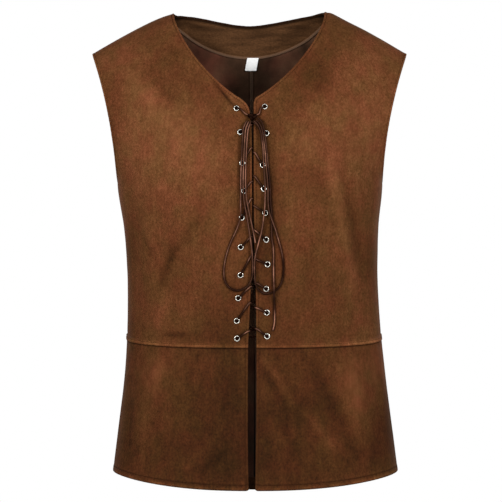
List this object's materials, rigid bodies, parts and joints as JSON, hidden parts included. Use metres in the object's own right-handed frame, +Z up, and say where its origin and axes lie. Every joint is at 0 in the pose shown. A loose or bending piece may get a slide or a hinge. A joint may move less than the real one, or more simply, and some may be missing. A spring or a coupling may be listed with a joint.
{
  "type": "renaissance vest",
  "caption": "Sleeveless laced historic vest in brown suede cloth, with a waist seam, short skirt, round neck, metal eyelets and a front lace tied in a bow.",
  "frame": {"origin": "midway between the two neck points, where the shoulder seams start and the wearer's shoulders carry the vest", "axes": "+Z up, along the length of the vest; the front faces -Y; the wearer's left is +X"},
  "size_m": [0.4584, 0.253, 0.7121],
  "materials": {
    "suede_bodice": "brown suede cloth with a short mottled nap",
    "suede_skirt": "the same suede cloth, its nap lying darker",
    "facing": "suede cloth facing",
    "lining": "smooth dark brown lining cloth",
    "label": "blank white woven tape",
    "eyelet": "nickel plated",
    "lace": "round waxed cord, dark reddish brown"
  },
  "bodies": {
    "root": {"front_right": "suede_bodice", "front_left": "suede_bodice", "back": "suede_bodice", "skirt_front_right": "suede_skirt", "skirt_front_left": "suede_skirt", "skirt_back": "suede_skirt", "neck_facing": "facing", "lining_right": "lining", "lining_left": "lining", "label": "label", "eyelet_right_01": "eyelet", "eyelet_right_02": "eyelet", "eyelet_right_03": "eyelet", "eyelet_right_04": "eyelet", "eyelet_right_05": "eyelet", "eyelet_right_06": "eyelet", "eyelet_right_07": "eyelet", "eyelet_right_08": "eyelet", "eyelet_right_09": "eyelet", "eyelet_right_10": "eyelet", "eyelet_left_01": "eyelet", "eyelet_left_02": "eyelet", "eyelet_left_03": "eyelet", "eyelet_left_04": "eyelet", "eyelet_left_05": "eyelet", "eyelet_left_06": "eyelet", "eyelet_left_07": "eyelet", "eyelet_left_08": "eyelet", "eyelet_left_09": "eyelet", "eyelet_left_10": "eyelet", "lace_from_right": "lace", "lace_from_left": "lace", "knot": "lace", "loop_right": "lace", "end_right": "lace", "loop_left": "lace", "end_left": "lace"}
  },
  "joints": []
}
